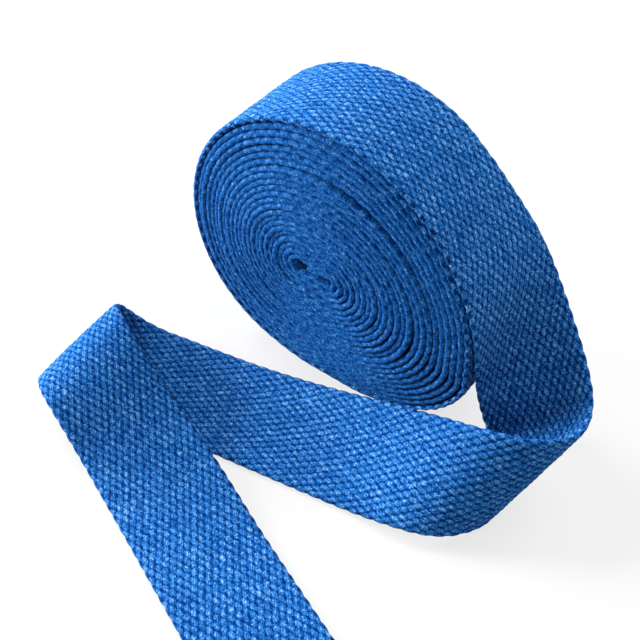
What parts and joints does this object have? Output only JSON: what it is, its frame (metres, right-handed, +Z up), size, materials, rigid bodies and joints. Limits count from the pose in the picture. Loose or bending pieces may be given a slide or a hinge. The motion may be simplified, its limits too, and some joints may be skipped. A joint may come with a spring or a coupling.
{
  "type": "webbing roll",
  "caption": "Roll of plain woven cotton webbing standing on its rim, its loose end turned back across the front, folded over and run out flat.",
  "frame": {"origin": "on the supporting surface, below the middle of the whole object's bounding box", "axes": "+Z up, +X to the right along the longest extent, towards the side where the loose end leaves the roll; +Y along the roll's axis, from the front, where the loose end runs out, to the back"},
  "size_m": [0.1725, 0.1576, 0.1099],
  "materials": {
    "webbing": "matt, coarse plain weave with small raised bumps"
  },
  "bodies": {
    "root": {"wound_roll": "webbing", "loose_end": "webbing"}
  },
  "joints": []
}
